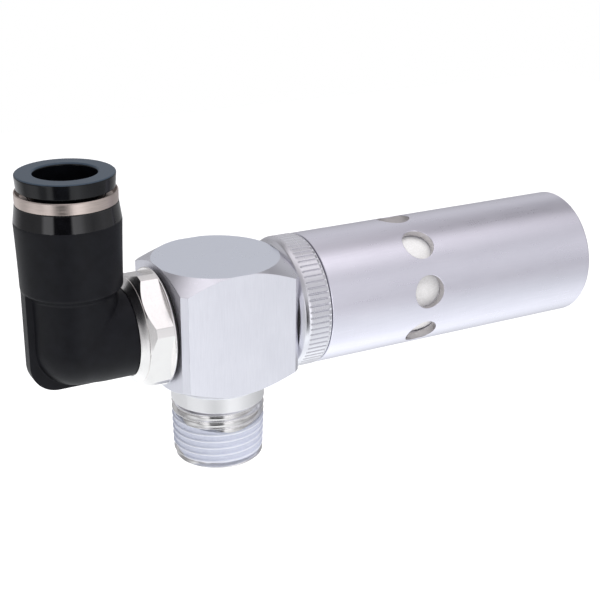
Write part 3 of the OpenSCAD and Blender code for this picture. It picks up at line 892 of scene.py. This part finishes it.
def surface_nets(field, lo, hi, step):
    ax = [np.arange(a, b + step, step) for a, b in zip(lo, hi)]
    G = np.stack(np.meshgrid(*ax, indexing="ij"), -1)
    F = field(G.reshape(-1, 3)).reshape(G.shape[:3])
    S = F < 0
    n = [len(a) - 1 for a in ax]
    acc = np.zeros((*n, 3))
    cnt = np.zeros(n)

    def sl(o):
        return tuple(slice(o[i], o[i] + n[i]) for i in range(3))

    for axis in range(3):
        for u in (0, 1):
            for v in (0, 1):
                o = [0, 0, 0]
                q = [i for i in range(3) if i != axis]
                o[q[0]], o[q[1]] = u, v
                o2 = list(o)
                o2[axis] = 1
                fa, fb = F[sl(o)], F[sl(o2)]
                hit = (fa < 0) != (fb < 0)
                w = np.where(hit, fa / np.where(hit, fa - fb, 1), 0)
                pt = G[sl(o)] + (G[sl(o2)] - G[sl(o)]) * w[..., None]
                acc += np.where(hit[..., None], pt, 0)
                cnt += hit
    live = cnt > 0
    ids = -np.ones(n, int)
    ids[live] = np.arange(live.sum())
    V = acc[live] / cnt[live][:, None]
    quads = []
    for axis in range(3):
        q = [(axis + 1) % 3, (axis + 2) % 3]
        a = [slice(1, n[i]) if i != axis else slice(0, n[i]) for i in range(3)]
        b = list(a)
        b[axis] = slice(1, n[axis] + 1)
        s0, s1 = S[tuple(a)], S[tuple(b)]
        hit = s0 != s1
        I = np.argwhere(hit)
        I = I + np.array([0 if i == axis else 1 for i in range(3)])
        d0, d1 = np.eye(3, dtype=int)[q[0]], np.eye(3, dtype=int)[q[1]]
        c = [ids[tuple((I - e).T)] for e in (0 * d0, d0, d0 + d1, d1)]
        f = np.stack(c, 1)
        flip = s1[hit]
        f[flip] = f[flip][:, ::-1]
        quads.append(f)
    return V, np.concatenate(quads)


def gradient(field, v, h=0.02):
    g = np.zeros_like(v)
    for i in range(3):
        e = np.zeros(3)
        e[i] = h
        g[:, i] = (field(v + e) - field(v - e)) / (2 * h)
    return g


V, F = surface_nets(elbow_field, (-9.4, -9.4, -8.6), (9.4, 9.4, 25.3), 0.25)
for _ in range(4):
    g = gradient(elbow_field, V)
    n2 = np.maximum((g * g).sum(1), 0.2)
    V = V - np.clip(elbow_field(V) / n2, -0.12, 0.12)[:, None] * g


def elbow_normals(co, no):
    g = gradient(elbow_field, co - np.array([EX, 0, AX]), 0.03)
    return g / np.maximum(np.linalg.norm(g, axis=1), 1e-6)[:, None]


elbow = make("elbow_moulding", V + np.array([EX, 0, AX]), F.tolist(), "elbow", "black_plastic", ["elbow_body"], normals=elbow_normals, angle=None, merge=False)
part_faces(elbow, lambda x, y, z: z > AX + 21.75)
put(elbow, elbow_m, band_m)

Q = 8.4
turned(
    "socket_sleeve",
    [
        (6.95, AX + 21.4),
        (7.3, AX + 21.4),
        (7.3, AX + 24.75),
        (Q - 0.02, AX + 24.75, 0.06),
        (Q, AX + 25.6),
        (Q, AX + 26.48, 0.05),
        (Q - 0.1, AX + 26.65, 0.03),
        (Q - 0.22, AX + 26.65, 0.03),
        (Q - 0.85, AX + 25.6),
        (6.35, AX + 25.6),
        (6.35, AX + 23.4),
        (6.95, AX + 23.4),
    ],
    "elbow",
    "sleeve_metal",
    "z",
    200,
    EX,
    ["guide_sleeve"],
)
put(bpy.data.objects["socket_sleeve"], sleeve_m)
turned(
    "release_collar_body",
    [
        (5.2, AX + 22.4),
        (5.9, AX + 22.4),
        (6.75, AX + 22.75),
        (6.75, AX + 23.3),
        (6.25, AX + 23.3),
        (6.25, AX + 26.75),
        (7.3, AX + 26.75, 0.1),
        (8.0, AX + 27.12, 0.15),
        (8.2, AX + 29.6, 0.3),
        (5.2, AX + 29.6, 0.45),
    ],
    "release_collar",
    "release_ring_finish",
    "z",
    200,
    EX,
    ["release_ring"],
    n=6,
)
put(bpy.data.objects["release_collar_body"], collar_m)

# inner pieces keep their CAD shape
for node, m in {
    "jet_nozzle": brass_m,
    "diffuser": brass_m,
    "nozzle_o_ring": rubber_m,
    "diffuser_o_ring": rubber_m,
    "ring_o_ring": rubber_m,
    "element_washers": rubber_m,
    "swivel_o_ring": rubber_m,
    "tube_seal": rubber_m,
    "swivel_clip": steel_m,
    "lock_claw": steel_m,
    "claw_ring": backing_m,
}.items():
    put(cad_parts[node], m)

# ------------------------------------------------------------------- surround
scene = bpy.context.scene
scene.view_settings.view_transform = "Standard"
scene.view_settings.look = "None"
scene.view_settings.exposure = 0.0

FLOOR_Z = -0.075
me = bpy.data.meshes.new("floor")
size = 0.5
me.from_pydata([(-size, -size, FLOOR_Z), (size, -size, FLOOR_Z), (size, size, FLOOR_Z), (-size, size, FLOOR_Z)], [], [(0, 1, 2, 3)])
floor = bpy.data.objects.new("floor", me)
scene.collection.objects.link(floor)
floor_m = Mat("pale_floor", (0.82, 0.82, 0.82), 0.0, 0.9, Specular_IOR_Level=0.0, Emission_Color=(1, 1, 1, 1), Emission_Strength=0.5)
put(floor, floor_m)
floor.visible_glossy = False

world = bpy.data.worlds.new("studio")
scene.world = world
world.use_nodes = True
wt = world.node_tree
wt.nodes.clear()


class Sky(Mat):
    def __init__(self, tree):
        self.t = tree


w = Sky(wt)
gen = w.node("ShaderNodeTexCoord").outputs["Generated"]
d = w.split(gen)
az = w.math("MULTIPLY", w.math("ARCTAN2", d[0], w.math("MULTIPLY", d[1], -1.0)), 180 / math.pi)  # 0 is -Y, 90 is +X
el = w.math("MULTIPLY", w.math("ARCSINE", d[2]), 180 / math.pi)
azf = w.math("DIVIDE", w.math("ADD", az, 180.0), 360.0)


def ring(*stops):
    """Brightness round the room at one height, as (azimuth in degrees, value)."""
    a0, v0 = stops[0]
    a1, v1 = stops[-1]
    seam = v1 + (v0 - v1) * (180 - a1) / (a0 + 360 - a1)
    return w.ramp(azf, *[((a + 180) / 360, v / 4) for a, v in ((-180, seam), *stops, (180, seam))])


# soft panels round the room, row by row from below to overhead: a dark gap where
# the viewer stands, a bright strip on each side of it and a bright floor
ROOM = [
    (-90, [(0, 1.5)]),
    (-62, [(-150, 0.9), (-90, 0.9), (-30, 1.0), (30, 1.0), (60, 1.2), (100, 1.4), (150, 1.1)]),
    (-44, [(-150, 1.4), (-105, 1.0), (-60, 1.5), (-15, 1.8), (15, 1.1), (60, 1.0), (100, 0.9), (150, 0.8)]),
    (-29, [(-160, 1.5), (-142, 1.3), (-122, 0.7), (-105, 1.1), (-88, 1.2), (-78, 0.6), (-66, 0.6), (-60, 1.3), (-51, 1.3), (-46, 0.1), (-11, 0.1), (-7, 1.3), (8, 1.5), (18, 1.2), (32, 0.9), (50, 0.7), (70, 0.6), (100, 0.5), (140, 0.6)]),
    (-19, [(-160, 1.0), (-142, 0.8), (-125, 0.4), (-100, 1.0), (-88, 1.1), (-78, 0.45), (-66, 0.5), (-60, 1.1), (-51, 1.1), (-46, 0.0), (-11, 0.0), (-7, 1.2), (10, 1.3), (20, 1.0), (35, 0.7), (60, 0.5), (100, 0.4), (140, 0.5)]),
    (-6, [(-165, 0.4), (-120, 0.3), (-75, 0.5), (-67, 2.0), (-50, 2.0), (-46, 0.0), (-12, 0.0), (-7, 2.0), (8, 1.7), (20, 0.8), (35, 0.5), (60, 0.7), (100, 0.4), (140, 0.4)]),
    (8, [(-165, 0.4), (-120, 0.6), (-75, 0.6), (-66, 1.3), (-50, 1.3), (-45, 0.1), (-13, 0.1), (-6, 1.6), (8, 1.3), (20, 0.8), (35, 0.6), (60, 0.9), (100, 0.3), (140, 0.55)]),
    (24, [(-165, 0.6), (-120, 0.65), (-75, 0.5), (-30, 0.8), (0, 1.0), (30, 0.75), (60, 0.7), (100, 0.35), (140, 0.65)]),
    (40, [(-165, 0.3), (-120, 0.2), (-75, 0.3), (-30, 0.45), (0, 0.55), (30, 0.7), (60, 0.55), (100, 0.2), (125, 0.3), (145, 0.7)]),
    (54, [(-165, 0.2), (-120, 0.3), (-75, 0.4), (-30, 0.5), (0, 0.6), (30, 1.0), (60, 1.0), (85, 0.7), (110, 0.3), (140, 0.8)]),
    (66, [(-165, 0.7), (-120, 0.8), (-60, 0.6), (0, 0.8), (45, 1.5), (75, 1.4), (100, 0.9), (135, 0.6)]),
    (78, [(-150, 1.3), (-90, 1.0), (-30, 0.9), (45, 0.9), (90, 0.6), (135, 0.8)]),
    (90, [(0, 1.15)]),
]
lay, below = None, None
for height, stops in ROOM:
    row = ring(*stops) if len(stops) > 1 else w.ramp(0.0, (0.0, stops[0][1] / 4))
    lay = row if lay is None else w.mix(w.span(el, below, height, 0, 1), lay, row)
    below = height
tint = w.mix(w.span(el, 35, 65, 0, 1), (1.0, 1.0, 1.03), (1.03, 1.0, 1.03))
tint = w.mix(w.span(el, -30, -12, 0, 1), (0.98, 1.01, 1.03), tint)
lay = w.mix(1.0, lay, tint, "MULTIPLY")
bg = w.node("ShaderNodeBackground")
wt.links.new(lay, bg.inputs["Color"])
bg.inputs["Strength"].default_value = 4.0
white = w.node("ShaderNodeBackground")
white.inputs["Color"].default_value = (1.0, 1.0, 1.0, 1)
path = w.node("ShaderNodeLightPath")
both = w.node("ShaderNodeMixShader")
wt.links.new(path.outputs["Is Camera Ray"], both.inputs[0])
wt.links.new(bg.outputs[0], both.inputs[1])
wt.links.new(white.outputs[0], both.inputs[2])
out = w.node("ShaderNodeOutputWorld")
wt.links.new(both.outputs[0], out.inputs["Surface"])


def softbox(name, loc, aim, w_m, h_m, watts):
    data = bpy.data.lights.new(name, "AREA")
    data.shape = "RECTANGLE"
    data.size, data.size_y = w_m, h_m
    data.energy = watts
    ob = bpy.data.objects.new(name, data)
    ob.location = loc
    ob.rotation_mode = "QUATERNION"
    ob.rotation_quaternion = (Vector(aim) - Vector(loc)).to_track_quat("-Z", "Y")
    scene.collection.objects.link(ob)
    return ob


key = softbox("key", (0.1, -0.25, 0.75), (0.02, 0, 0.02), 0.7, 0.5, 3.0)
key.visible_glossy = False

# --------------------------------------------------------------------- camera
a, e, roll = math.radians(28.65355558), math.radians(21.63696924), math.radians(0.58000918)
F_PX, TX, TY, TZ = 1254.098581687, -14.934937504, -2.448630315, 223.809612646
fwd = Vector((math.sin(a) * math.cos(e), math.cos(a) * math.cos(e), -math.sin(e)))
right = Vector((math.cos(a), -math.sin(a), 0))
up = right.cross(fwd)
r2 = right * math.cos(roll) + up * math.sin(roll)
u2 = -right * math.sin(roll) + up * math.cos(roll)
C = -(r2 * TX + u2 * TY + fwd * TZ) + Vector((0, 0, AX))
cam_data = bpy.data.cameras.new("camera")
cam = bpy.data.objects.new("camera", cam_data)
scene.collection.objects.link(cam)
cam_data.sensor_fit = "AUTO"
cam_data.sensor_width = 36.0
cam_data.lens = F_PX * 36.0 / 600.0
cam_data.clip_start = 0.01
cam_data.clip_end = 20.0
m = Matrix(((r2.x, u2.x, -fwd.x), (r2.y, u2.y, -fwd.y), (r2.z, u2.z, -fwd.z)))
cam.matrix_world = Matrix.Translation(C * 0.001) @ m.to_4x4()
scene.camera = cam
